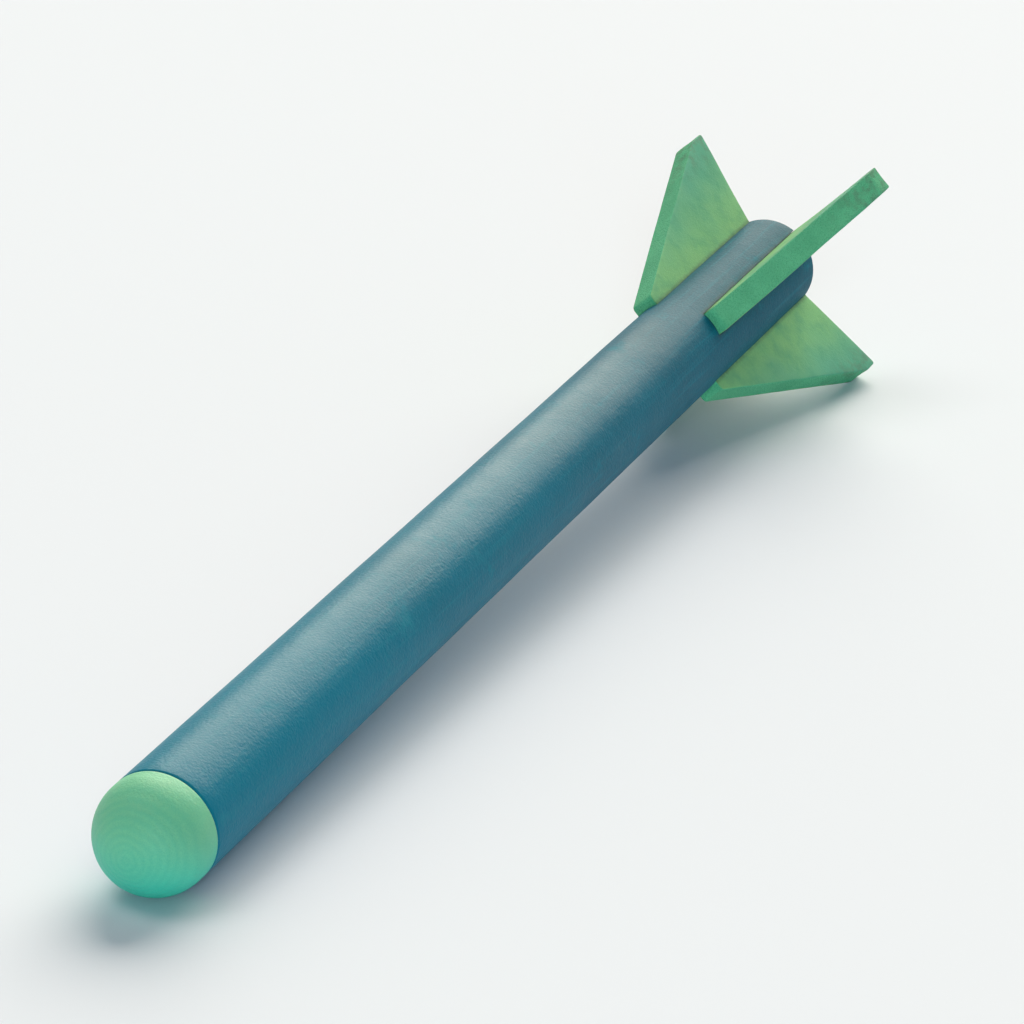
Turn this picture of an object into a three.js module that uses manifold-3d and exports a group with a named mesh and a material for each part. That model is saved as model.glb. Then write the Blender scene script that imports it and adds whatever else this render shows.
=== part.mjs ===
// Foam javelin: a bored foam tube, a domed foam nose plugged into its front end, and four swept foam
// fins glued into slots at its tail. It lies at rest on its nose and on the tips of its two lower fins.
//
// Millimetres. The javelin's own axis is x: 0 at the cut tail end of the tube, positive towards the nose.
import * as THREE from "three";
import { mergeVertices } from "three/addons/utils/BufferGeometryUtils.js";
import Module from "manifold-3d";

const wasm = await Module();
wasm.setup();

// Tube
const TUBE_DIAMETER = 62;
const TUBE_LENGTH = 863;
const BORE_DIAMETER = 20;
const TUBE_END_ROUND = 1.6;

// Nose: a half ball on a short straight skirt, with a spigot that fills the front of the bore
const NOSE_SKIRT = 6;
const NOSE_SHOULDER_ROUND = 1.1;
const SPIGOT_LENGTH = 45;
const SPIGOT_CHAMFER = 2.5;

// Fins, cut from flat sheet
const FIN_COUNT = 4;
const FIN_THICKNESS = 16;
const FIN_ROOT_CHORD = 166;
const FIN_FRONT_HEIGHT = 5.5;
const FIN_TIP_REACH = 94;
const FIN_TIP_CHORD = 15;
const FIN_TIP_SETBACK = 4.5;
const FIN_SEAT_DEPTH = 9;
const FIN_CORNER_CUT = 2.4;
const FIN_EDGE_ROUND = 0.7;

// Clearance at every glued joint, and how far a cutter runs past what it cuts
const GLUE_GAP = 0.3;
const CUTTER_OVERRUN = 4;

// How finely round forms are divided
const TURN_STEPS = 80;
const DOME_STEPS = 20;
const ROUND_STEPS = 3;
const FIN_CORNER_STEPS = 4;

// Sizes that follow from the ones above
const tubeRadius = TUBE_DIAMETER / 2;
const boreRadius = BORE_DIAMETER / 2;
const spigotRadius = boreRadius - GLUE_GAP;
const seatRadius = tubeRadius - FIN_SEAT_DEPTH;
const slotFloorRadius = seatRadius - GLUE_GAP;
const slotWidth = FIN_THICKNESS + 2 * GLUE_GAP;
const seamX = TUBE_LENGTH + GLUE_GAP;
const domeCentreX = seamX + NOSE_SKIRT;
const finStep = (2 * Math.PI) / FIN_COUNT;
const firstFinAngle = finStep / 2;

const tubeFoam = new THREE.MeshStandardMaterial({ color: 0x2f86a6, roughness: 0.62, metalness: 0 });
const greenFoam = new THREE.MeshStandardMaterial({ color: 0x6cc194, roughness: 0.85, metalness: 0 });

// Points of an arc, as profile points (radius, height), both ends included.
function arc(radius, height, size, fromAngle, toAngle, steps) {
  const points = [];
  for (let i = 0; i <= steps; i += 1) {
    const angle = fromAngle + ((toAngle - fromAngle) * i) / steps;
    points.push(new THREE.Vector2(radius + size * Math.cos(angle), height + size * Math.sin(angle)));
  }
  return points;
}

// A turned body whose axis is laid along x, so that the profile's height becomes x.
function turned(profile) {
  return new THREE.LatheGeometry(profile, TURN_STEPS).rotateZ(-Math.PI / 2);
}

function solidFrom(geometry) {
  const bare = geometry.clone();
  bare.deleteAttribute("normal");
  bare.deleteAttribute("uv");
  const merged = mergeVertices(bare);
  return new wasm.Manifold(new wasm.Mesh({
    numProp: 3,
    vertProperties: new Float32Array(merged.attributes.position.array),
    triVerts: new Uint32Array(merged.index.array),
  }));
}

function geometryFrom(solid) {
  const mesh = solid.getMesh();
  const geometry = new THREE.BufferGeometry();
  geometry.setAttribute("position", new THREE.BufferAttribute(new Float32Array(mesh.vertProperties), 3));
  geometry.setIndex(new THREE.BufferAttribute(new Uint32Array(mesh.triVerts), 1));
  geometry.computeVertexNormals();
  return geometry;
}

// The tube's wall, with both outer rims rounded where the foam was cut.
function tubeBlank() {
  const rim = tubeRadius - TUBE_END_ROUND;
  const tailRim = arc(rim, TUBE_END_ROUND, TUBE_END_ROUND, -Math.PI / 2, 0, ROUND_STEPS);
  const noseRim = arc(rim, TUBE_LENGTH - TUBE_END_ROUND, TUBE_END_ROUND, 0, Math.PI / 2, ROUND_STEPS);
  const boreFront = new THREE.Vector2(boreRadius, TUBE_LENGTH);
  const boreTail = new THREE.Vector2(boreRadius, 0);
  return turned([...tailRim, ...noseRim, boreFront, boreTail, tailRim[0].clone()]);
}

// Room for one fin: it is open at the tail and to the outside, and stands at the angle of that fin.
function slotCutter(angle) {
  const length = FIN_ROOT_CHORD + GLUE_GAP + CUTTER_OVERRUN;
  const height = tubeRadius + CUTTER_OVERRUN - slotFloorRadius;
  const box = new THREE.BoxGeometry(length, height, slotWidth);
  box.translate(length / 2 - CUTTER_OVERRUN, slotFloorRadius + height / 2, 0);
  return box.rotateX(angle);
}

function tubeGeometry() {
  let tube = solidFrom(tubeBlank());
  for (let i = 0; i < FIN_COUNT; i += 1) {
    tube = tube.subtract(solidFrom(slotCutter(firstFinAngle + i * finStep)));
  }
  return geometryFrom(tube);
}

// The nose, with its seam at height 0: the spigot lies below it, the skirt and the half ball above.
function noseGeometry() {
  const spigotEnd = [
    new THREE.Vector2(0, -SPIGOT_LENGTH),
    new THREE.Vector2(spigotRadius - SPIGOT_CHAMFER, -SPIGOT_LENGTH),
    new THREE.Vector2(spigotRadius, SPIGOT_CHAMFER - SPIGOT_LENGTH),
    new THREE.Vector2(spigotRadius, 0),
  ];
  const shoulderRadius = tubeRadius - NOSE_SHOULDER_ROUND;
  const shoulder = arc(shoulderRadius, NOSE_SHOULDER_ROUND, NOSE_SHOULDER_ROUND, -Math.PI / 2, 0, ROUND_STEPS);
  const dome = arc(0, NOSE_SKIRT, tubeRadius, 0, Math.PI / 2, DOME_STEPS);
  dome[DOME_STEPS].x = 0;
  return turned([...spigotEnd, ...shoulder, ...dome]);
}

// Adds a corner to an outline, softened over the cut length on both of its sides.
function softCorner(shape, before, corner, after, cut) {
  const toBefore = before.clone().sub(corner).setLength(cut);
  const toAfter = after.clone().sub(corner).setLength(cut);
  shape.lineTo(corner.x + toBefore.x, corner.y + toBefore.y);
  shape.quadraticCurveTo(corner.x, corner.y, corner.x + toAfter.x, corner.y + toAfter.y);
}

// One fin in its own plane: x along the tube, y out from its axis. The root sits in the slot, the low
// blunt front and the short tip are joined by a long straight leading edge, and the trailing edge
// runs from behind the tail back to the end of the tube.
function finGeometry() {
  const rootFront = new THREE.Vector2(FIN_ROOT_CHORD, seatRadius);
  const frontTop = new THREE.Vector2(FIN_ROOT_CHORD, tubeRadius + FIN_FRONT_HEIGHT);
  const tipFront = new THREE.Vector2(-FIN_TIP_SETBACK, FIN_TIP_REACH);
  const tipRear = new THREE.Vector2(-FIN_TIP_SETBACK - FIN_TIP_CHORD, FIN_TIP_REACH);
  const trailingFoot = new THREE.Vector2(0, tubeRadius);

  const outline = new THREE.Shape();
  outline.moveTo(0, seatRadius);
  outline.lineTo(rootFront.x, rootFront.y);
  softCorner(outline, rootFront, frontTop, tipFront, FIN_CORNER_CUT);
  softCorner(outline, frontTop, tipFront, tipRear, FIN_CORNER_CUT);
  softCorner(outline, tipFront, tipRear, trailingFoot, FIN_CORNER_CUT);
  outline.lineTo(trailingFoot.x, trailingFoot.y);
  outline.closePath();

  const depth = FIN_THICKNESS - 2 * FIN_EDGE_ROUND;
  const fin = new THREE.ExtrudeGeometry(outline, {
    depth,
    curveSegments: FIN_CORNER_STEPS,
    bevelThickness: FIN_EDGE_ROUND,
    bevelSize: FIN_EDGE_ROUND,
    bevelOffset: -FIN_EDGE_ROUND,
    bevelSegments: ROUND_STEPS,
  });
  return fin.translate(0, 0, -depth / 2);
}

// How far the tail has to rise for a point of a fin to touch the floor that the nose's ball touches.
function tiltFor(point) {
  const along = domeCentreX - point.x;
  return Math.atan2(-point.z, along) - Math.asin(tubeRadius / Math.hypot(along, point.z));
}

function restTilt(fins) {
  let tilt = 0;
  const point = new THREE.Vector3();
  for (const fin of fins) {
    const position = fin.geometry.attributes.position;
    fin.updateMatrix();
    for (let i = 0; i < position.count; i += 1) {
      point.fromBufferAttribute(position, i).applyMatrix4(fin.matrix);
      tilt = Math.max(tilt, tiltFor(point));
    }
  }
  return tilt;
}

function piece(name, geometry, material) {
  const mesh = new THREE.Mesh(geometry, material);
  mesh.name = name;
  return mesh;
}

const tube = piece("foam_tube", tubeGeometry(), tubeFoam);

const nose = piece("nose_dome", noseGeometry(), greenFoam);
nose.position.x = seamX;

const fins = [];
for (let i = 0; i < FIN_COUNT; i += 1) {
  const fin = piece(`tail_fin_${i + 1}`, finGeometry(), greenFoam);
  fin.rotation.x = firstFinAngle + i * finStep;
  fins.push(fin);
}

// The javelin turned to the way it lies, then moved so that the origin is on the floor, under its middle.
const javelin = new THREE.Group();
javelin.add(tube, nose, ...fins);
javelin.rotation.y = restTilt(fins);

const part = new THREE.Group();
part.add(javelin);
const extent = new THREE.Box3().setFromObject(part, true);
const middle = extent.getCenter(new THREE.Vector3());
part.position.set(-middle.x, -middle.y, -extent.min.z);

export default part;
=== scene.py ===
# %% [markdown]
# A foam javelin, dressed in Blender
#
# The javelin is a soft training tool: a bored foam tube, a domed foam nose and four swept foam fins.
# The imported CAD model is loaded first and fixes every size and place. Each of its six nodes is then
# replaced by a finer piece of the same form, with the soft edges and the foam's grain that a solid
# made of flat facets can't show. Lengths are in metres, and +Z is up.

# %% Load the frame
import math

import bpy
from mathutils import Matrix, Vector
from mathutils.geometry import delaunay_2d_cdt


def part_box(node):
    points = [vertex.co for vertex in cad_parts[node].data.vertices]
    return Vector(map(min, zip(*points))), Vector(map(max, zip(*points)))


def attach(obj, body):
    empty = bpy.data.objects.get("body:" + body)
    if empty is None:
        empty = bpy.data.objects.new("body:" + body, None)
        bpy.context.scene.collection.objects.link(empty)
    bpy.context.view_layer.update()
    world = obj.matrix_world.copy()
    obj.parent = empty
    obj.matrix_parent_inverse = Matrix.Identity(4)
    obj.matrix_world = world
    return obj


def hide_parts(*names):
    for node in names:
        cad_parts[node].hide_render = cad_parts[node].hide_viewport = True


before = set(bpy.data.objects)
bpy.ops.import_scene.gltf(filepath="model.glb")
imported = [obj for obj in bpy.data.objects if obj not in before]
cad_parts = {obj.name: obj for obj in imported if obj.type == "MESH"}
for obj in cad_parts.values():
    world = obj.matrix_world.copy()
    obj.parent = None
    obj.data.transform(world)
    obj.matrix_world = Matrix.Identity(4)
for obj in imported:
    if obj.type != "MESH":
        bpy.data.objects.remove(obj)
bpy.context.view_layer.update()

print("CAD nodes:", sorted(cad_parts))

# %% [markdown]
# The javelin has a frame of its own: x along its axis from the cut tail towards the nose, z up. It
# lies tilted, on its nose and on the tips of its two lower fins. The tilt and the place are read from
# the boxes of two nodes, because a ball's centre and a tube's middle can be told from their boxes
# whichever way they are turned. Everything is modelled straight in that frame and laid down at the end.

# %% The javelin's own frame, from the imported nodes
TUBE_LENGTH = 0.863

tube_low, tube_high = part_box("foam_tube")
nose_low, nose_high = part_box("nose_dome")
TUBE_RADIUS = (tube_high.y - tube_low.y) / 2
ball_centre = Vector((nose_high.x - TUBE_RADIUS, 0, TUBE_RADIUS))
tube_middle = (tube_low + tube_high) / 2
forward = (ball_centre - tube_middle).normalized()
tail_end = tube_middle - forward * (TUBE_LENGTH / 2)
tilt = math.atan2(-forward.z, forward.x)
LAY_DOWN = Matrix.Translation(tail_end) @ Matrix.Rotation(tilt, 4, "Y")
print(f"tilt {math.degrees(tilt):.2f} degrees, tube radius {TUBE_RADIUS * 1000:.1f} mm")

# %% [markdown]
# The pieces' sizes are the CAD model's own. They are written out again here, because the frame holds
# the finished solids and not the numbers behind them. The edges of foam are never sharp: the tube's
# rims and the nose's shoulder are a millimetre or so round. The glue gap is the film of glue that
# lies between two pieces.

# %% The pieces' sizes
BORE_RADIUS = 0.010
RIM_ROUND = 0.0016
GLUE_GAP = 0.0003

NOSE_SKIRT = 0.006
SHOULDER_ROUND = 0.0011
SPIGOT_LENGTH = 0.045
SPIGOT_CHAMFER = 0.0025

FIN_COUNT = 4
FIN_THICKNESS = 0.016
FIN_ROOT_CHORD = 0.166
FIN_FRONT_HEIGHT = 0.0055
FIN_TIP_REACH = 0.094
FIN_TIP_CHORD = 0.015
FIN_TIP_SETBACK = 0.0045
FIN_SEAT_DEPTH = 0.009

spigot_radius = BORE_RADIUS - GLUE_GAP
seat_radius = TUBE_RADIUS - FIN_SEAT_DEPTH
seam_x = TUBE_LENGTH + GLUE_GAP
fin_step = 2 * math.pi / FIN_COUNT
first_fin_angle = fin_step / 2
print(f"spigot {2000 * spigot_radius:.1f} mm across")
print(f"fins seated {1000 * seat_radius:.1f} mm from the axis")

# %% [markdown]
# The camera comes first, because it decides how fine the detail has to be. It stands where the
# photographer stood, found by matching the photographed outline, and a longer lens lets the javelin
# fill the picture. It looks along the tube from in front of the nose, to the side and above.

# %% Camera
CAMERA_FROM_NOSE = Vector((1.725, 0.841, 0.958))
CAMERA_AIM = Vector((-0.002, 0.004, 0.050))
CAMERA_ROLL = math.radians(4.4)
CAMERA_LENS = 155
FILM_WIDTH = 36

camera_data = bpy.data.cameras.new("camera")
camera = bpy.data.objects.new("camera", camera_data)
bpy.context.scene.collection.objects.link(camera)
bpy.context.scene.camera = camera
camera_data.sensor_width = FILM_WIDTH
camera_data.lens = CAMERA_LENS
camera.location = ball_centre + CAMERA_FROM_NOSE
looking = (CAMERA_AIM - camera.location).to_track_quat("-Z", "Y").to_matrix().to_4x4()
roll = Matrix.Rotation(CAMERA_ROLL, 4, "Z")
camera.matrix_world = Matrix.Translation(camera.location) @ looking @ roll
print(f"camera {(camera.location - CAMERA_AIM).length:.2f} m from the javelin")

# %% [markdown]
# Node trees, for shaders and for geometry alike, are written here as plain Python. A Value stands for
# one output socket, and can be added, subtracted, multiplied or divided as a number can.

# %% A value in a node tree
class Value:
    """One output socket of a node tree, used in sums as a number would be."""

    def __init__(self, nodes, socket):
        self.nodes = nodes
        self.socket = socket

    def __add__(self, other):
        return self.nodes.math("ADD", self, other)

    def __sub__(self, other):
        return self.nodes.math("SUBTRACT", self, other)

    def __rsub__(self, other):
        return self.nodes.math("SUBTRACT", other, self)

    def __mul__(self, other):
        return self.nodes.math("MULTIPLY", self, other)

    def __truediv__(self, other):
        return self.nodes.math("DIVIDE", self, other)

    def __rtruediv__(self, other):
        return self.nodes.math("DIVIDE", other, self)

    __radd__ = __add__
    __rmul__ = __mul__


# %% [markdown]
# Nodes.node() adds any node at all: its settings first, then what goes into its sockets. A socket is
# found by its number, by its identifier, which tells apart those that share a name, or by its name.
# The other calls are short forms for the nodes that the finishes and the recipes use most.

# %% A node tree that is filled by calls
class Nodes:
    """A node tree that is filled by calls."""

    def __init__(self, tree):
        self.tree = tree

    def socket(self, sockets, key):
        if isinstance(key, int):
            return sockets[key]
        by_identifier = [s for s in sockets if s.identifier == key]
        return by_identifier[0] if by_identifier else sockets[key]

    def node(self, kind, settings=None, inputs=None, output=0):
        made = self.tree.nodes.new(kind)
        for name, value in (settings or {}).items():
            setattr(made, name, value)
        for key, value in (inputs or {}).items():
            socket = self.socket(made.inputs, key)
            if isinstance(value, Value):
                self.tree.links.new(value.socket, socket)
            else:
                socket.default_value = value
        return Value(self, self.socket(made.outputs, output))

    def math(self, operation, *values):
        return self.node("ShaderNodeMath", {"operation": operation}, dict(enumerate(values)))

    def vector(self, operation, *values, scale=None, output="Vector"):
        inputs = dict(enumerate(values))
        if scale is not None:
            inputs["Scale"] = scale
        return self.node("ShaderNodeVectorMath", {"operation": operation}, inputs, output)

    def parts(self, vector):
        split = self.tree.nodes.new("ShaderNodeSeparateXYZ")
        self.tree.links.new(vector.socket, split.inputs[0])
        return [Value(self, socket) for socket in split.outputs]

    def joined(self, **sides):
        """A vector from its X, Y and Z, any of which may be left out and is then 0."""
        return self.node("ShaderNodeCombineXYZ", {}, sides)

    def ramp(self, value, low, high, from_value=0.0, to_value=1.0):
        """Runs from from_value to to_value as value goes from low to high, and stays there."""
        settings = {"clamp": True, "interpolation_type": "SMOOTHSTEP"}
        inputs = {"Value": value, "From Min": low, "From Max": high}
        inputs |= {"To Min": from_value, "To Max": to_value}
        return self.node("ShaderNodeMapRange", settings, inputs, "Result")

    def blend(self, share, first, second):
        """From the first colour to the second, as share goes from 0 to 1."""
        inputs = {"Factor_Float": share, "A_Color": first, "B_Color": second}
        return self.node("ShaderNodeMix", {"data_type": "RGBA"}, inputs, "Result_Color")

    def noise(self, place, size, detail=2.0, roughness=0.5):
        """Soft noise from 0 to 1 whose lumps are about that size."""
        inputs = {"Vector": place, "Scale": 1 / size, "Detail": detail, "Roughness": roughness}
        return self.node("ShaderNodeTexNoise", {}, inputs, 0)

    def cells(self, place, size, feature="F1"):
        """Foam cells of that size: the distance from the middle of the nearest one."""
        inputs = {"Vector": place, "Scale": 1 / size}
        return self.node("ShaderNodeTexVoronoi", {"feature": feature}, inputs, "Distance")


# %% [markdown]
# The light is a studio's. A broad soft light stands behind the tail, high enough to be mirrored in
# the top of the tube: that draws the wide pale band along it. A weaker one is overhead, a small one
# stands by the camera, and a low blue-green one fills in the nose from the front. All four are suns,
# which light a floor evenly however far it goes, and their discs are wide, for soft shadows. The room
# is pale near the horizon and dim above.

# %% Lights and room
LAMP_DISTANCE = 3
ROOM_TINT = (0.84, 0.97, 1.0, 1)
HORIZON_LIGHT = 0.72
HORIZON_HEIGHT = 0.02
CEILING_LIGHT = 0.15
CEILING_HEIGHT = 0.34


def soft_light(name, comes_from, width, strength, colour):
    """A sun whose disc is that many degrees wide, shining from a direction."""
    data = bpy.data.lights.new(name, "SUN")
    data.angle = math.radians(width)
    data.energy = strength
    data.color = colour
    lamp = bpy.data.objects.new(name, data)
    bpy.context.scene.collection.objects.link(lamp)
    turned = Vector(comes_from).to_track_quat("Z", "Y").to_matrix().to_4x4()
    lamp.matrix_world = Matrix.Translation(Vector(comes_from).normalized() * LAMP_DISTANCE) @ turned
    print(f"light {name}: {width} degrees wide, strength {strength}")


def room():
    world = bpy.data.worlds.new("room")
    bpy.context.scene.world = world
    world.use_nodes = True
    nodes = Nodes(world.node_tree)
    height = nodes.parts(nodes.node("ShaderNodeTexCoord", {}, {}, "Generated"))[2]
    strength = nodes.ramp(height, HORIZON_HEIGHT, CEILING_HEIGHT, HORIZON_LIGHT, CEILING_LIGHT)
    background = world.node_tree.nodes["Background"]
    background.inputs["Color"].default_value = ROOM_TINT
    world.node_tree.links.new(strength.socket, background.inputs["Strength"])


bpy.context.scene.view_settings.view_transform = "Standard"
soft_light("back", (-0.82, -0.13, 0.50), width=54, strength=4.6, colour=(1.0, 0.93, 0.77))
soft_light("overhead", (0.2, -0.35, 0.9), width=30, strength=0.6, colour=(1.0, 0.96, 0.88))
soft_light("front", (0.85, 0.33, 0.43), width=12, strength=0.50, colour=(0.86, 0.97, 1.0))
soft_light("low", (0.90, 0.38, 0.08), width=30, strength=0.85, colour=(0.22, 0.90, 1.0))
room()

# %% [markdown]
# The floor is one big sheet of matt paper, so big that the camera doesn't see its edge. The strongest
# light is warm, so the paper is faintly blue, and the two together look white.

# %% Floor
FLOOR_SIZE = 60
FLOOR_PAPER = (0.74, 0.77, 0.87, 1)
FLOOR_ROUGHNESS = 0.9


def floor():
    half = FLOOR_SIZE / 2
    corners = [(-half, -half, 0), (half, -half, 0), (half, half, 0), (-half, half, 0)]
    mesh = bpy.data.meshes.new("floor")
    mesh.from_pydata(corners, [], [(0, 1, 2, 3)])
    sheet = bpy.data.objects.new("floor", mesh)
    bpy.context.scene.collection.objects.link(sheet)
    paper = bpy.data.materials.new("floor_paper")
    paper.use_nodes = True
    shader = paper.node_tree.nodes["Principled BSDF"]
    shader.inputs["Base Color"].default_value = FLOOR_PAPER
    shader.inputs["Roughness"].default_value = FLOOR_ROUGHNESS
    mesh.materials.append(paper)
    print(f"floor {FLOOR_SIZE} m wide")


floor()

# %% [markdown]
# Every finish starts the same way. Its pattern is placed on Object coordinates, turned back into the
# javelin's own frame by a Mapping node, so that streaks run along the tube and rings run round it.
# Colours are picked as they look on screen and changed to the linear ones that a shader mixes. What
# varies goes to the colour, the roughness and a bump, and what doesn't is set on the shader itself.
# In a finish's roughness and height, the number before a pattern says how much it counts.

# %% The start and end of every finish
def linear(red, green, blue):
    """A screen colour, 0 to 255, as the linear colour a shader wants, by the sRGB curve."""
    shares = [value / 255 for value in (red, green, blue)]
    return (*[s / 12.92 if s <= 0.04045 else ((s + 0.055) / 1.055) ** 2.4 for s in shares], 1)


def new_finish(name):
    material = bpy.data.materials.new(name)
    material.use_nodes = True
    nodes = Nodes(material.node_tree)
    where = nodes.node("ShaderNodeTexCoord", {}, {}, "Object")
    back = LAY_DOWN.inverted()
    turn = {"Vector": where, "Location": back.to_translation(), "Rotation": back.to_euler()}
    place = nodes.node("ShaderNodeMapping", {}, turn)
    return material, nodes, place


def finish_shader(material, nodes, colour, roughness, height, relief, constants):
    """Joins what varies to the shader. relief is how deep a height of 1 is, in metres."""
    tree = material.node_tree
    shader = tree.nodes["Principled BSDF"]
    bumps = {"Strength": 1.0, "Distance": relief, "Height": height}
    normal = nodes.node("ShaderNodeBump", {}, bumps, "Normal")
    tree.links.new(colour.socket, shader.inputs["Base Color"])
    tree.links.new(roughness.socket, shader.inputs["Roughness"])
    tree.links.new(normal.socket, shader.inputs["Normal"])
    for name, value in constants.items():
        shader.inputs[name].default_value = value
    print(f"finish {material.name}: {len(tree.nodes)} nodes, relief {relief * 1000:.2f} mm")


print(f"a screen grey of 128 is {linear(128, 128, 128)[0]:.3f} as a linear colour")


# %% [markdown]
# Glue that was pressed out of a joint shows as a thin, patchy brown line. Its mask needs to know how
# far each point is from the joint. For the tube that is the distance to the nearest slot, and the
# slots lie along two planes that cross on the axis. For a fin it is the distance to the tube's skin.

# %% Glue lines
GLUE_BROWN = linear(52, 66, 58)
GLUE_SMEAR = 0.0030
GLUE_PATCH = 0.006
GLUE_WANDER = 1.6
GLUE_THIN = 0.35
GLUE_PATCHES = (0.30, 0.60)


def glue_line(nodes, place, distance):
    """From 0 to 1: where glue shows, given how far each point is from the joint it came out of."""
    patchy = nodes.noise(place, GLUE_PATCH, detail=3.0, roughness=0.6)
    wandering = distance + (patchy - 0.5) * (GLUE_WANDER * GLUE_SMEAR)
    edge = nodes.ramp(wandering, 0.0, GLUE_SMEAR, 1.0, 0.0)
    return edge * nodes.ramp(patchy, *GLUE_PATCHES, GLUE_THIN, 1.0)


def distance_to_slots(nodes, place):
    """How far a point of the tube's skin is from the nearest fin, which stand on two crossed planes."""
    x, y, z = nodes.parts(place)
    off_planes = nodes.math("MINIMUM", nodes.math("ABSOLUTE", y - z), nodes.math("ABSOLUTE", y + z))
    beside = off_planes / math.sqrt(2) - FIN_THICKNESS / 2
    return nodes.math("MAXIMUM", beside, x - FIN_ROOT_CHORD)


def distance_from_axis(nodes, place):
    y, z = nodes.parts(place)[1:]
    return nodes.math("SQRT", y * y + z * z)


print(f"glue reaches {GLUE_SMEAR * 1000:.1f} mm out of a joint")

# %% [markdown]
# The tube is extruded foam. Its skin is closed and satin, with the faint streaks that the die leaves
# along it and a pebbled surface where cells lie just under the skin. Its tone deepens in slow random
# patches, and towards the tail its colour is darkened further as painted shade. Its shine is duller
# there, and hands have rubbed it paler in patches. The skin mirrors the light behind the tail as a
# broad pale band, so its own colour has to be a deep blue.

# %% Finish of the tube's skin
TUBE_BLUE = linear(1, 114, 141)
# The deep blue serves random deep patches and, towards the tail, painted shade.
TUBE_DEEP_AND_PAINTED_SHADE = linear(0, 78, 100)
TUBE_PALE = linear(18, 128, 148)
TUBE_RUBBED = linear(40, 138, 156)

TONE_SIZE = 0.07
TONE_MIDDLE = 0.35
TONE_SWING = 0.30
TAIL_PAINTED_SHADE = 0.60
DEEP_TONES = (0.2, 0.8)
DEEP_SHARE = 0.90

STREAK_SIZE = 0.004
STREAK_STRETCH = (0.03, 1.0, 1.0)
STREAKS_SHOW = (0.50, 0.75)
STREAK_SHARE = 0.40

CELL_SIZE = 0.0016
FINE_CELL_SIZE = 0.0008
CELL_EDGES = (0.25, 0.75)
SPECK_SHARE = 0.24

RUB_SIZE = 0.03
RUBS_SHOW = (0.56, 0.72)
RUB_SHARE = 0.45

DULL_SIZE = 0.018
HANDLED_HALF = (0.0, 0.5)
TAIL_DULLNESS = 0.18
TUBE_ROUGHNESS = 0.36
TUBE_RELIEF = 0.00018
GLUE_ON_TUBE_SHARE = 0.7


def tube_skin():
    material, nodes, place = new_finish("tube_skin")
    along = nodes.vector("MULTIPLY", place, STREAK_STRETCH)
    streaks = nodes.noise(along, STREAK_SIZE, detail=3.0, roughness=0.6)
    slow = nodes.noise(place, TONE_SIZE)
    pebbles = nodes.cells(place, CELL_SIZE, "SMOOTH_F1")
    grain = nodes.cells(place, FINE_CELL_SIZE)
    dull = nodes.noise(place, DULL_SIZE, detail=3.0, roughness=0.6)
    rubs = nodes.ramp(nodes.noise(place, RUB_SIZE, detail=6.0, roughness=0.72), *RUBS_SHOW)
    glue = glue_line(nodes, place, distance_to_slots(nodes, place))
    towards_tail = 0.5 - nodes.parts(place)[0] / TUBE_LENGTH
    # Painted shade: the tone is pushed towards the deep blue towards the tail.
    tone = TONE_MIDDLE + TONE_SWING * slow + TAIL_PAINTED_SHADE * towards_tail
    deep = nodes.blend(nodes.ramp(tone, *DEEP_TONES, 0.0, DEEP_SHARE), TUBE_BLUE, TUBE_DEEP_AND_PAINTED_SHADE)
    streaked = nodes.blend(nodes.ramp(streaks, *STREAKS_SHOW, 0.0, STREAK_SHARE), deep, TUBE_PALE)
    speckled = nodes.blend(nodes.ramp(grain, *CELL_EDGES, 0.0, SPECK_SHARE), streaked, TUBE_PALE)
    rubbed = nodes.blend(rubs * RUB_SHARE, speckled, TUBE_RUBBED)
    glued = nodes.blend(glue * GLUE_ON_TUBE_SHARE, rubbed, GLUE_BROWN)
    handled = nodes.ramp(towards_tail, *HANDLED_HALF)
    roughness = TUBE_ROUGHNESS + 0.10 * dull + 0.05 * streaks + 0.14 * rubs + TAIL_DULLNESS * handled
    height = 0.85 * (1 - pebbles) + 0.30 * (1 - grain) + 0.9 * streaks + 2.2 * dull
    shine = {"IOR": 1.23, "Subsurface Weight": 0.06, "Subsurface Scale": 0.004}
    finish_shader(material, nodes, glued, roughness, height, TUBE_RELIEF, shine)
    return material


finishes = {"tube_skin": tube_skin()}

# %% [markdown]
# Where the foam is cut, at the tube's ends, in its bore and along the edges of the sheet, the knife
# opens the cells. A cut face is rougher and duller than the skin, and little pits show as dark dots.
# The tips of the fins touch the ground first, so both their faces and their edges get grey scuffs.

# %% Finish of cut foam
SCUFF_GREY = linear(88, 122, 100)
SCUFF_REACH = 0.024
SCUFF_PATCH = 0.007
SCUFFS_SHOW = (0.42, 0.64)
SCUFF_SHARE = 0.6

PITS_FADE = (0.15, 0.55)
PIT_SHARE = 0.55
CUT_TONE_SIZE = 0.02
CUT_SHADES = (0.35, 0.7)
CUT_SHADE_SHARE = 0.3
CUT_ROUGHNESS = 0.82
CUT_RELIEF = 0.0005

TUBE_CUT = linear(32, 124, 144)
TUBE_PIT = linear(8, 78, 98)
TUBE_PIT_SIZE = 0.0014


def scuffed(nodes, place, colour):
    """The colour with patchy scuffs near the tips of the fins."""
    from_axis = distance_from_axis(nodes, place)
    near_tip = nodes.ramp(from_axis, FIN_TIP_REACH - SCUFF_REACH, FIN_TIP_REACH)
    patchy = nodes.ramp(nodes.noise(place, SCUFF_PATCH, detail=4.0, roughness=0.65), *SCUFFS_SHOW)
    return nodes.blend(near_tip * patchy * SCUFF_SHARE, colour, SCUFF_GREY)


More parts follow.
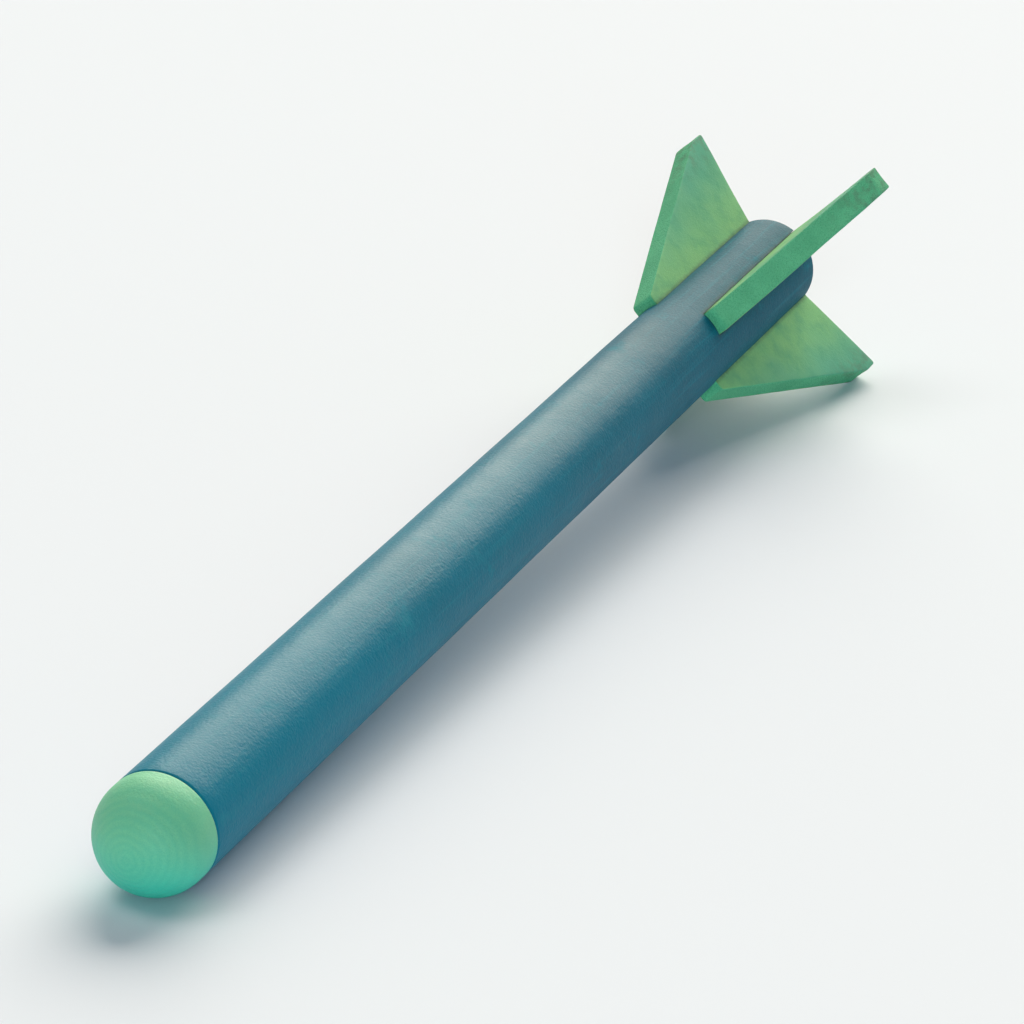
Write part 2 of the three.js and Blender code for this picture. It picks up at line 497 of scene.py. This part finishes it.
def cut_foam(name, colour, pit_colour, pit_size):
    material, nodes, place = new_finish(name)
    pits = nodes.cells(place, pit_size)
    small = nodes.cells(place, pit_size / 2)
    slow = nodes.noise(place, CUT_TONE_SIZE)
    pitted = nodes.blend(nodes.ramp(pits, *PITS_FADE, PIT_SHARE, 0.0), colour, pit_colour)
    shaded = nodes.blend(nodes.ramp(slow, *CUT_SHADES, 0.0, CUT_SHADE_SHARE), pitted, pit_colour)
    worn = scuffed(nodes, place, shaded)
    roughness = CUT_ROUGHNESS + 0.12 * small
    height = pits + 0.4 * small
    finish_shader(material, nodes, worn, roughness, height, CUT_RELIEF, {"IOR": 1.45})
    return material


finishes["tube_cut"] = cut_foam("tube_cut", TUBE_CUT, TUBE_PIT, TUBE_PIT_SIZE)

# %% [markdown]
# The fins are cut from green foam sheet. The sheet's faces have a fine leathery skin, softer than the
# tube's. They are yellower near the tube than at the tips, the dye is darker in small cloudy patches,
# and a little glue shows along the root.

# %% Finishes of the sheet
FIN_GREEN = linear(80, 166, 134)
FIN_YELLOWISH = linear(132, 191, 116)
FIN_DEEP = linear(60, 146, 116)

YELLOW_RADIUS = 0.03
GREEN_RADIUS = 0.085
YELLOW_SHARE = 0.85
YELLOW_WANDER = 0.05
SHEET_TONE_SIZE = 0.05

CLOUD_SIZE = 0.016
CLOUDS_SHOW = (0.42, 0.75)
CLOUD_SHARE = 0.45

SHEET_PEBBLE_SIZE = 0.0013
SHEET_GRAIN_SIZE = 0.0006
GRAIN_FADE = (0.2, 0.7)
GRAIN_SHARE = 0.22

GLUE_ON_FIN_SHARE = 0.6
SHEET_ROUGHNESS = 0.66
SHEET_RELIEF = 0.00022

SHEET_CUT = linear(96, 188, 140)
SHEET_PIT = linear(62, 152, 110)
SHEET_PIT_SIZE = 0.0010


def speckled_foam(nodes, grain, colour, deep_colour):
    """The colour, deeper in the middle of each small cell of the grain."""
    return nodes.blend(nodes.ramp(grain, *GRAIN_FADE, GRAIN_SHARE, 0.0), colour, deep_colour)


def sheet_skin():
    material, nodes, place = new_finish("sheet_skin")
    from_axis = distance_from_axis(nodes, place)
    slow = nodes.noise(place, SHEET_TONE_SIZE)
    clouds = nodes.noise(place, CLOUD_SIZE, detail=3.0, roughness=0.6)
    pebbles = nodes.cells(place, SHEET_PEBBLE_SIZE, "SMOOTH_F1")
    grain = nodes.cells(place, SHEET_GRAIN_SIZE)
    glue = glue_line(nodes, place, from_axis - TUBE_RADIUS)
    wandering = from_axis + YELLOW_WANDER * (slow - 0.5)
    near_tube = nodes.ramp(wandering, YELLOW_RADIUS, GREEN_RADIUS, YELLOW_SHARE, 0.0)
    warm = nodes.blend(near_tube, FIN_GREEN, FIN_YELLOWISH)
    toned = nodes.blend(nodes.ramp(clouds, *CLOUDS_SHOW, 0.0, CLOUD_SHARE), warm, FIN_DEEP)
    speckled = speckled_foam(nodes, grain, toned, FIN_DEEP)
    glued = nodes.blend(glue * GLUE_ON_FIN_SHARE, speckled, GLUE_BROWN)
    worn = scuffed(nodes, place, glued)
    roughness = SHEET_ROUGHNESS + 0.14 * clouds
    height = 0.6 * (1 - pebbles) + 0.3 * (1 - grain) + 1.6 * clouds
    soft = {"IOR": 1.45, "Subsurface Weight": 0.12, "Subsurface Scale": 0.005}
    finish_shader(material, nodes, worn, roughness, height, SHEET_RELIEF, soft)
    return material


finishes["sheet_skin"] = sheet_skin()
finishes["sheet_cut"] = cut_foam("sheet_cut", SHEET_CUT, SHEET_PIT, SHEET_PIT_SIZE)

# %% [markdown]
# The nose is a ball of soft light green foam. Its mould was turned on a lathe, which leaves faint
# rings on the foam, one inside the other. Its colour runs from a yellower green above to a bluer
# teal below, with a wandering border: painted light, warm from above and cool from below.

# %% Finish of the nose
NOSE_PAINTED_TOP_GREEN = linear(124, 198, 156)
NOSE_PAINTED_LOW_TEAL = linear(66, 204, 178)
NOSE_DEEP = linear(64, 176, 150)

RING_SIZE = 0.0034
RING_WOBBLE = 1.4
WOBBLE_SIZE = 0.02
RING_SHARE = 0.14

NOSE_TONE_SIZE = 0.03
PAINTED_LIGHT_WANDER = 0.5
PAINTED_LIGHT_HEIGHTS = (-0.8, 0.5)

NOSE_PEBBLE_SIZE = 0.0014
NOSE_GRAIN_SIZE = 0.0007
NOSE_ROUGHNESS = 0.44
NOSE_RELIEF = 0.00022


def nose_skin():
    material, nodes, place = new_finish("nose_skin")
    wobble = nodes.noise(place, WOBBLE_SIZE, detail=1.0)
    turns = distance_from_axis(nodes, place) / RING_SIZE + wobble * RING_WOBBLE
    rings = 0.5 + 0.5 * nodes.math("SINE", turns * (2 * math.pi))
    slow = nodes.noise(place, NOSE_TONE_SIZE)
    pebbles = nodes.cells(place, NOSE_PEBBLE_SIZE, "SMOOTH_F1")
    grain = nodes.cells(place, NOSE_GRAIN_SIZE)
    # Painted light: yellower green on top and bluer teal below, by height on the ball.
    painted_light_height = nodes.parts(place)[2] / TUBE_RADIUS + PAINTED_LIGHT_WANDER * (slow - 0.5)
    toned = nodes.blend(nodes.ramp(painted_light_height, *PAINTED_LIGHT_HEIGHTS), NOSE_PAINTED_LOW_TEAL, NOSE_PAINTED_TOP_GREEN)
    ringed = nodes.blend(rings * RING_SHARE, toned, NOSE_DEEP)
    speckled = speckled_foam(nodes, grain, ringed, NOSE_DEEP)
    roughness = NOSE_ROUGHNESS + 0.10 * slow
    height = 0.7 * (1 - pebbles) + 0.30 * (1 - grain) + 0.40 * rings
    soft = {"IOR": 1.33, "Subsurface Weight": 0.12, "Subsurface Scale": 0.005}
    finish_shader(material, nodes, speckled, roughness, height, NOSE_RELIEF, soft)
    return material


finishes["nose_skin"] = nose_skin()

# %% [markdown]
# Geometry Nodes turn an outline into a solid by a rule, and the rule stays open to change: the inputs
# are named and set by their identifiers. The helpers below start a tree, read its inputs, and bake
# the result of a modifier into a plain mesh, because only plain meshes are kept.

# %% Helpers for geometry trees
SOCKET_KINDS = {"float": "NodeSocketFloat", "int": "NodeSocketInt", "material": "NodeSocketMaterial"}


class Recipe:
    """A geometry tree with named inputs."""

    def __init__(self, name, **inputs):
        self.tree = bpy.data.node_groups.new(name, "GeometryNodeTree")
        interface = self.tree.interface
        interface.new_socket("Geometry", in_out="INPUT", socket_type="NodeSocketGeometry")
        self.identifiers = {}
        for key, kind in inputs.items():
            socket = interface.new_socket(key, in_out="INPUT", socket_type=SOCKET_KINDS[kind])
            self.identifiers[key] = socket.identifier
        interface.new_socket("Geometry", in_out="OUTPUT", socket_type="NodeSocketGeometry")
        self.nodes = Nodes(self.tree)
        self.entry = self.tree.nodes.new("NodeGroupInput")

    def given(self, name):
        return Value(self.nodes, self.entry.outputs[name])

    def end(self, geometry, skin, cut=None, is_cut=None):
        """Ends the tree with one material all over, and a second one on the faces where is_cut holds."""
        realized = self.nodes.node("GeometryNodeRealizeInstances", {}, {"Geometry": geometry})
        inputs = {"Geometry": realized, "Material": skin}
        dressed = self.nodes.node("GeometryNodeSetMaterial", {}, inputs)
        if cut is not None:
            inputs = {"Geometry": dressed, "Selection": is_cut, "Material": cut}
            dressed = self.nodes.node("GeometryNodeSetMaterial", {}, inputs)
        way_out = self.tree.nodes.new("NodeGroupOutput")
        self.tree.links.new(dressed.socket, way_out.inputs["Geometry"])
        print("recipe:", self.tree.name, "with", len(self.tree.nodes), "nodes")

    def run(self, thing, **values):
        """Runs the recipe on an object and leaves its result there as a plain mesh."""
        modifier = thing.modifiers.new(self.tree.name, "NODES")
        modifier.node_group = self.tree
        for key, value in values.items():
            modifier[self.identifiers[key]] = value
        graph = bpy.context.evaluated_depsgraph_get()
        baked = bpy.data.meshes.new_from_object(thing.evaluated_get(graph))
        thing.modifiers.clear()
        thing.data = baked


def new_object(name, points, edges=(), faces=()):
    mesh = bpy.data.meshes.new(name)
    mesh.from_pydata([tuple(p) for p in points], list(edges), list(faces))
    thing = bpy.data.objects.new(name, mesh)
    bpy.context.scene.collection.objects.link(thing)
    return thing


# %% [markdown]
# The tube and the nose are both round about the axis, so one recipe makes them. An outline of points
# (along, out) is swept round a circle, which is how a lathe thinks. Points on the axis meet in a pole,
# and Merge by Distance closes it. A slow noise then pushes the surface in and out by a fraction of a
# millimetre, because foam is never perfectly round, and fades out towards the glued seam.

# %% Recipe: turned foam
MERGE_DISTANCE = 0.00001
PATH_RADIUS = 0.005
SEAM_CALM = 0.002
SEAM_REACH = 0.02


def turned_foam_recipe():
    sizes = {"Steps": "int", "Uneven": "float", "Lump": "float", "Seam": "float"}
    recipe = Recipe("turned foam", **sizes, Skin="material")
    nodes = recipe.nodes
    outline = nodes.node("GeometryNodeMeshToCurve", {}, {"Mesh": recipe.given("Geometry")})
    path_sizes = {"Resolution": recipe.given("Steps"), "Radius": PATH_RADIUS}
    path = nodes.node("GeometryNodeCurvePrimitiveCircle", {"mode": "RADIUS"}, path_sizes, "Curve")
    swept = nodes.node("GeometryNodeCurveToMesh", {}, {"Curve": path, "Profile Curve": outline})
    open_pole = {"Geometry": swept, "Distance": MERGE_DISTANCE}
    closed = nodes.node("GeometryNodeMergeByDistance", {}, open_pole)
    upright = {"Geometry": closed, "Rotation": (0, -math.pi / 2, 0)}
    laid = nodes.node("GeometryNodeTransform", {}, upright)
    place = nodes.node("GeometryNodeInputPosition")
    from_seam = nodes.math("ABSOLUTE", nodes.parts(place)[0] - recipe.given("Seam"))
    away = nodes.ramp(from_seam, SEAM_CALM, SEAM_REACH)
    scaled = nodes.vector("SCALE", place, scale=1 / recipe.given("Lump"))
    lumps = nodes.noise(scaled, 1.0, detail=1.0)
    push = (lumps - 0.5) * recipe.given("Uneven") * away
    offset = nodes.vector("SCALE", nodes.node("GeometryNodeInputNormal"), scale=push)
    moved = nodes.node("GeometryNodeSetPosition", {}, {"Geometry": laid, "Offset": offset})
    smooth = nodes.node("GeometryNodeSetShadeSmooth", {}, {"Geometry": moved})
    recipe.end(smooth, recipe.given("Skin"))
    return recipe


turned_foam = turned_foam_recipe()

# %% [markdown]
# Four slots are cut in the tail of the tube for the roots of the fins. One plain block is made, put
# on four points that all lie on the axis, and turned a quarter more each time. Mesh Boolean takes the
# four blocks from the tube. Cut foam is told from skin by where a face looks: skin looks straight
# out from the axis, and a slot, the bore or an end of the tube doesn't.

# %% Recipe: fin slots
SKIN_LOOKS_OUT = 0.55
NO_OFFSET = (0.0, 0.0, 0.0)


def fin_slots_recipe():
    sizes = {"Count": "int", "First Angle": "float", "Length": "float", "Width": "float"}
    sizes |= {"Floor": "float", "Overrun": "float", "Outside": "float"}
    recipe = Recipe("fin slots", **sizes, Skin="material", Cut="material")
    nodes = recipe.nodes
    overrun = recipe.given("Overrun")
    length = recipe.given("Length") + overrun
    height = recipe.given("Outside") + overrun - recipe.given("Floor")
    block_size = nodes.joined(X=length, Y=height, Z=recipe.given("Width"))
    block = nodes.node("GeometryNodeMeshCube", {}, {"Size": block_size})
    block_place = nodes.joined(X=length / 2 - overrun, Y=recipe.given("Floor") + height / 2)
    moved = {"Geometry": block, "Translation": block_place}
    placed = nodes.node("GeometryNodeTransform", {}, moved)
    row = {"Count": recipe.given("Count"), "Offset": NO_OFFSET}
    spots = nodes.node("GeometryNodeMeshLine", {}, row)
    share = nodes.node("GeometryNodeInputIndex") / recipe.given("Count")
    turn = nodes.joined(X=recipe.given("First Angle") + share * (2 * math.pi))
    instances = {"Points": spots, "Instance": placed, "Rotation": turn}
    blocks = nodes.node("GeometryNodeInstanceOnPoints", {}, instances)
    loose = nodes.node("GeometryNodeRealizeInstances", {}, {"Geometry": blocks})
    difference = {"operation": "DIFFERENCE", "solver": "MANIFOLD"}
    solids = {"Mesh 1": recipe.given("Geometry"), "Mesh 2": loose}
    slotted = nodes.node("GeometryNodeMeshBoolean", difference, solids)
    y, z = nodes.parts(nodes.node("GeometryNodeInputPosition"))[1:]
    straight_out = nodes.vector("NORMALIZE", nodes.joined(Y=y, Z=z))
    normal = nodes.node("GeometryNodeInputNormal")
    looks_out = nodes.vector("DOT_PRODUCT", straight_out, normal, output="Value")
    is_cut = nodes.math("LESS_THAN", looks_out, SKIN_LOOKS_OUT)
    recipe.end(slotted, recipe.given("Skin"), recipe.given("Cut"), is_cut)
    return recipe


fin_slots = fin_slots_recipe()

# %% [markdown]
# The outline of a turned piece is put together from arcs and from lines with points on them. It
# becomes a mesh of loose edges, which the recipe for turned foam sweeps round the axis.

# %% Helpers for outlines
def arc(along, out, size, from_angle, to_angle, steps):
    """Points of an arc in an outline, as (along, out), with both ends."""
    angles = [from_angle + (to_angle - from_angle) * i / steps for i in range(steps + 1)]
    return [(along + size * math.cos(a), out + size * math.sin(a)) for a in angles]


def line(start, end, step):
    """Points between two outline points, neither of them included, about a step apart."""
    count = max(1, round(math.dist(start, end) / step))
    shares = [i / count for i in range(1, count)]
    return [(start[0] + (end[0] - start[0]) * s, start[1] + (end[1] - start[1]) * s) for s in shares]


def outline_object(name, outline, closed):
    """An outline of (along, out) as the loose edges that the turned foam recipe sweeps."""
    points = [(out - PATH_RADIUS, along, 0) for along, out in outline]
    edges = [(i, i + 1) for i in range(len(points) - 1)]
    if closed:
        edges.append((len(points) - 1, 0))
    print(f"{name}: an outline of {len(points)} points")
    return new_object(name, points, edges)


# %% [markdown]
# Every finished piece is laid down the same way. Its mesh is moved to where the javelin lies, while
# its object stays at the origin, and a point that a bend pushed below the floor is set on the floor.
# Then the piece is measured and hung on the body it rides on, and the CAD node it stands for is
# hidden. Solid foam is soft all through.

# %% Helpers for finished pieces
SHARP_ANGLE = math.radians(38)


def volume_of(thing):
    """The volume that a closed mesh holds: it is negative where the faces point inwards."""
    mesh = thing.data
    mesh.calc_loop_triangles()
    corners = [[mesh.vertices[i].co for i in tri.vertices] for tri in mesh.loop_triangles]
    return sum(a.dot(b.cross(c)) for a, b, c in corners) / 6


def lay_down(thing):
    """Takes a finished piece from the javelin's own frame to where the javelin lies."""
    thing.data.transform(LAY_DOWN)
    for vertex in thing.data.vertices:
        vertex.co.z = max(0.0, vertex.co.z)
    thing.data.set_sharp_from_angle(angle=SHARP_ANGLE)
    volume = volume_of(thing)
    assert volume > 0, f"{thing.name} is inside out"
    size = [round(1000 * s, 1) for s in thing.dimensions]
    triangles = len(thing.data.loop_triangles)
    print(f"{thing.name}: {volume * 1e6:.1f} cm3, {triangles} triangles, {size} mm")


def stands_for(piece, node):
    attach(piece, "root")
    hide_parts(node)


# %% [markdown]
# The tube's outline is a closed loop: the wall of the tube, with both rims rounded. Points along the
# wall lie a few millimetres apart, so that the unevenness has something to push.

# %% The tube
TURN_STEPS = 192
WALL_STEP = 0.008
BORE_STEP = 0.03
RIM_STEPS = 6
TUBE_UNEVEN = 0.0005
TUBE_LUMP = 0.07
SLOT_OVERRUN = 0.004


def tube_outline():
    rim = TUBE_RADIUS - RIM_ROUND
    half_pi = math.pi / 2
    tail_rim = arc(RIM_ROUND, rim, RIM_ROUND, math.pi, half_pi, RIM_STEPS)
    nose_rim = arc(TUBE_LENGTH - RIM_ROUND, rim, RIM_ROUND, half_pi, 0, RIM_STEPS)
    wall = line(tail_rim[-1], nose_rim[0], WALL_STEP)
    bore_front = (TUBE_LENGTH, BORE_RADIUS)
    bore_tail = (0, BORE_RADIUS)
    front_face = line(nose_rim[-1], bore_front, WALL_STEP)
    bore = line(bore_front, bore_tail, BORE_STEP)
    tail_face = line(bore_tail, tail_rim[0], WALL_STEP)
    return [*tail_rim, *wall, *nose_rim, *front_face, bore_front, *bore, bore_tail, *tail_face]


tube = outline_object("tube_body", tube_outline(), closed=True)
tube_turning = {"Steps": TURN_STEPS, "Uneven": TUBE_UNEVEN, "Lump": TUBE_LUMP, "Seam": TUBE_LENGTH}
turned_foam.run(tube, **tube_turning, Skin=finishes["tube_skin"])
slot_sizes = {
    "Count": FIN_COUNT,
    "First Angle": first_fin_angle,
    "Length": FIN_ROOT_CHORD + GLUE_GAP,
    "Width": FIN_THICKNESS + 2 * GLUE_GAP,
    "Floor": seat_radius - GLUE_GAP,
    "Outside": TUBE_RADIUS,
    "Overrun": SLOT_OVERRUN,
}
fin_slots.run(tube, **slot_sizes, Skin=finishes["tube_skin"], Cut=finishes["tube_cut"])
lay_down(tube)
stands_for(tube, "foam_tube")

# %% [markdown]
# The nose is one moulded piece: a spigot that is glued into the bore, a shoulder that meets the
# tube's end, a short straight skirt and a half ball. Its outline starts and ends on the axis.

# %% The nose
DOME_STEPS = 48
SKIRT_STEP = 0.0015
SPIGOT_STEP = 0.012
NOSE_UNEVEN = 0.0003
NOSE_LUMP = 0.022


def nose_outline():
    half_pi = math.pi / 2
    shoulder = TUBE_RADIUS - SHOULDER_ROUND
    spigot_end = seam_x - SPIGOT_LENGTH
    tip = (spigot_end, 0)
    chamfer = (spigot_end, spigot_radius - SPIGOT_CHAMFER)
    spigot = [(spigot_end + SPIGOT_CHAMFER, spigot_radius), (seam_x, spigot_radius)]
    round_shoulder = arc(seam_x + SHOULDER_ROUND, shoulder, SHOULDER_ROUND, math.pi, half_pi, RIM_STEPS)
    dome = arc(seam_x + NOSE_SKIRT, 0, TUBE_RADIUS, half_pi, 0, DOME_STEPS)
    dome[-1] = (dome[-1][0], 0)
    spigot_wall = line(*spigot, SPIGOT_STEP)
    shoulder_face = line(spigot[1], round_shoulder[0], SPIGOT_STEP)
    skirt = line(round_shoulder[-1], dome[0], SKIRT_STEP)
    plug = [tip, chamfer, spigot[0], *spigot_wall, spigot[1]]
    return [*plug, *shoulder_face, *round_shoulder, *skirt, *dome]


nose = outline_object("nose_ball", nose_outline(), closed=False)
nose_turning = {"Steps": TURN_STEPS, "Uneven": NOSE_UNEVEN, "Lump": NOSE_LUMP, "Seam": seam_x}
turned_foam.run(nose, **nose_turning, Skin=finishes["nose_skin"])
lay_down(nose)
stands_for(nose, "nose_dome")

# %% [markdown]
# A fin is die-cut from sheet. Its outline has a straight root, a low blunt front, a long swept
# leading edge, a short tip behind the tail, and a trailing edge that runs back to the end of the
# tube. The three corners that stand free are rounded.

# %% The fin's outline
CORNER_CUT = 0.0028
CORNER_STEPS = 6
OUTLINE_STEP = 0.004


def soft_corner(before, corner, after):
    """Points of a corner that is rounded over the cut length on both of its sides."""
    start = corner + (before - corner).normalized() * CORNER_CUT
    end = corner + (after - corner).normalized() * CORNER_CUT
    shares = [i / CORNER_STEPS for i in range(CORNER_STEPS + 1)]
    return [start * (1 - s) ** 2 + corner * (2 * s * (1 - s)) + end * s ** 2 for s in shares]


def fin_outline():
    """The fin in its own plane: along the tube, and out from its axis."""
    root_tail = Vector((0, seat_radius))
    root_front = Vector((FIN_ROOT_CHORD, seat_radius))
    front_top = Vector((FIN_ROOT_CHORD, TUBE_RADIUS + FIN_FRONT_HEIGHT))
    tip_front = Vector((-FIN_TIP_SETBACK, FIN_TIP_REACH))
    tip_rear = Vector((-FIN_TIP_SETBACK - FIN_TIP_CHORD, FIN_TIP_REACH))
    trailing_foot = Vector((0, TUBE_RADIUS))
    corners = [root_tail, root_front]
    corners += soft_corner(root_front, front_top, tip_front)
    corners += soft_corner(front_top, tip_front, tip_rear)
    corners += soft_corner(tip_front, tip_rear, trailing_foot)
    corners.append(trailing_foot)
    outline = []
    for here, there in zip(corners, corners[1:] + corners[:1]):
        outline.append(here)
        outline += [Vector(p) for p in line(here, there, OUTLINE_STEP)]
    return outline


cut_line = fin_outline()
print("fin outline:", len(cut_line), "points")

# %% [markdown]
# The die presses the foam down while it cuts, and the foam springs back, which leaves soft edges and
# a cut wall that is slightly hollow. So the wall is a stack of copies of the outline, each moved
# inwards by its own depth. A point moves along the line that halves its corner, and further at a
# sharp corner, up to a limit.

# %% The fin's cut wall
EDGE_ROUND = 0.0010
EDGE_STEPS = 5
WALL_LEVELS = 7
WALL_HOLLOW = 0.00025
SHARPEST_CORNER = 0.3


def inset(outline, depth):
    """The outline moved inwards by a depth, with the same number of points."""
    moved = []
    for i, here in enumerate(outline):
        back = (here - outline[i - 1]).normalized()
        on = (outline[(i + 1) % len(outline)] - here).normalized()
        inwards = Vector((-back.y - on.y, back.x + on.x)).normalized()
        across = Vector((-on.y, on.x))
        moved.append(here + inwards * depth / max(SHARPEST_CORNER, inwards.dot(across)))
    return moved


def wall_levels():
    """Pairs of height and inset, from one face of the sheet to the other."""
    straight = FIN_THICKNESS / 2 - EDGE_ROUND
    angles = [math.pi / 2 * (1 - i / EDGE_STEPS) for i in range(EDGE_STEPS)]
    low = [(-straight - EDGE_ROUND * math.sin(a), EDGE_ROUND * (1 - math.cos(a))) for a in angles]
    shares = [i / (WALL_LEVELS - 1) for i in range(WALL_LEVELS)]
    wall = [(straight * (2 * s - 1), WALL_HOLLOW * math.sin(math.pi * s)) for s in shares]
    high = [(-height, depth) for height, depth in reversed(low)]
    return [*low, *wall, *high]


loops = [[(p.x, p.y, height) for p in inset(cut_line, depth)] for height, depth in wall_levels()]
print("fin wall:", len(loops), "levels")

# %% [markdown]
# The two flat faces are filled with a mesh of even triangles, so that they can bend. Points of a
# three-cornered grid are laid inside the rim, and Blender's own triangulation joins them to it.

# %% The fin's flat faces
FACE_STEP = 0.006
RIM_CLEARANCE = 0.6
INSIDE_ONLY = 1
SAME_POINT = 1e-7


def inside(point, outline):
    """Whether a point lies inside a closed outline."""
    crossings = 0
    for a, b in zip(outline, outline[1:] + outline[:1]):
        if (a.y > point.y) != (b.y > point.y):
            crossings += point.x < a.x + (b.x - a.x) * (point.y - a.y) / (b.y - a.y)
    return crossings % 2 == 1


def face_points(outline):
    """Points of an even three-cornered grid that lie inside the outline, well clear of it."""
    low = Vector((min(p.x for p in outline), min(p.y for p in outline)))
    high = Vector((max(p.x for p in outline), max(p.y for p in outline)))
    row_height = FACE_STEP * math.sqrt(3) / 2
    points = []
    for row in range(int((high.y - low.y) / row_height) + 1):
        shift = FACE_STEP / 2 * (row % 2)
        for column in range(int((high.x - low.x) / FACE_STEP) + 1):
            point = Vector((low.x + shift + column * FACE_STEP, low.y + row * row_height))
            clear = min((point - p).length for p in outline) > FACE_STEP * RIM_CLEARANCE
            if clear and inside(point, outline):
                points.append(point)
    return points


rim = inset(cut_line, EDGE_ROUND)
grid = face_points(rim)
rim_edges = [(i, (i + 1) % len(rim)) for i in range(len(rim))]
filled = delaunay_2d_cdt([*rim, *grid], rim_edges, [], INSIDE_ONLY, SAME_POINT)
assert len(filled[0]) == len(rim) + len(grid)
face_triangles = filled[2]
print("fin face:", len(face_triangles), "triangles")

# %% [markdown]
# Wall and faces are joined into one closed mesh. The points of the first and the last loop of the
# wall are the rims of the two faces, so no point is double and nothing has to be merged.

# %% The flat fin
def flat_fin():
    count = len(cut_line)
    points = [point for loop in loops for point in loop]
    faces = []
    for level in range(len(loops) - 1):
        for i in range(count):
            j = (i + 1) % count
            low, high = level * count, (level + 1) * count
            faces.append((low + i, low + j, high + j, high + i))
    top_start = (len(loops) - 1) * count
    for side, start in ((-1, 0), (1, top_start)):
        grid_start = len(points)
        points += [(p.x, p.y, side * FIN_THICKNESS / 2) for p in grid]
        for face in face_triangles:
            corners = [start + i if i < count else grid_start + i - count for i in face]
            faces.append(corners if side > 0 else corners[::-1])
    return points, faces


fin_points, fin_faces = flat_fin()
print("one flat fin:", len(fin_points), "points,", len(fin_faces), "faces")

# %% [markdown]
# One recipe puts the flat fin on the tube four times. Foam sheet is never quite flat: each fin bows a
# little, more towards its tip, and ripples slightly. The root stays true, because it is glued in its
# slot. The ripple's noise is moved by a seed, so no two fins are alike.

# %% Recipe: fin on the tube
FACE_LOOKS_ACROSS = 0.6


def fin_recipe():
    sizes = {"Angle": "float", "Bow": "float", "Ripple": "float", "Ripple Size": "float"}
    recipe = Recipe("fin on the tube", **sizes, Seed="float", Skin="material", Cut="material")
    nodes = recipe.nodes
    angle = recipe.given("Angle")
    x, y = nodes.parts(nodes.node("GeometryNodeInputPosition"))[:2]
    free = nodes.ramp(y, TUBE_RADIUS, FIN_TIP_REACH)
    scaled = nodes.vector("SCALE", nodes.joined(X=x, Y=y), scale=1 / recipe.given("Ripple Size"))
    seeded = nodes.vector("ADD", scaled, nodes.joined(Z=recipe.given("Seed")))
    waves = nodes.noise(seeded, 1.0, detail=1.0)
    push = recipe.given("Bow") * free * free + recipe.given("Ripple") * (waves - 0.5) * free
    pushed = {"Geometry": recipe.given("Geometry"), "Offset": nodes.joined(Z=push)}
    bent = nodes.node("GeometryNodeSetPosition", {}, pushed)
    smooth = nodes.node("GeometryNodeSetShadeSmooth", {}, {"Geometry": bent})
    turn = {"Geometry": smooth, "Rotation": nodes.joined(X=angle)}
    turned = nodes.node("GeometryNodeTransform", {}, turn)
    sheet_normal = nodes.joined(Y=0 - nodes.math("SINE", angle), Z=nodes.math("COSINE", angle))
    normal = nodes.node("GeometryNodeInputNormal")
    facing = nodes.vector("DOT_PRODUCT", sheet_normal, normal, output="Value")
    is_cut = nodes.math("LESS_THAN", nodes.math("ABSOLUTE", facing), FACE_LOOKS_ACROSS)
    recipe.end(turned, recipe.given("Skin"), recipe.given("Cut"), is_cut)
    return recipe


fin_on_tube = fin_recipe()

# %% [markdown]
# The two lower fins carry the tail. Where a bend would push a tip through the floor, the foam gives,
# so laying a fin down sets its few lowest points flat on the floor.

# %% The four fins
FIN_BOWS = (0.0012, -0.0009, 0.0005, -0.0004)
FIN_RIPPLE = 0.0012
RIPPLE_SIZE = 0.045
SEED_STEP = 7.3

for number, bow in enumerate(FIN_BOWS, start=1):
    fin = new_object(f"fin_{number}", fin_points, (), fin_faces)
    angle = first_fin_angle + (number - 1) * fin_step
    ripple = {"Ripple": FIN_RIPPLE, "Ripple Size": RIPPLE_SIZE, "Seed": SEED_STEP * number}
    skins = {"Skin": finishes["sheet_skin"], "Cut": finishes["sheet_cut"]}
    fin_on_tube.run(fin, Angle=angle, Bow=bow, **ripple, **skins)
    lay_down(fin)
    stands_for(fin, f"tail_fin_{number}")
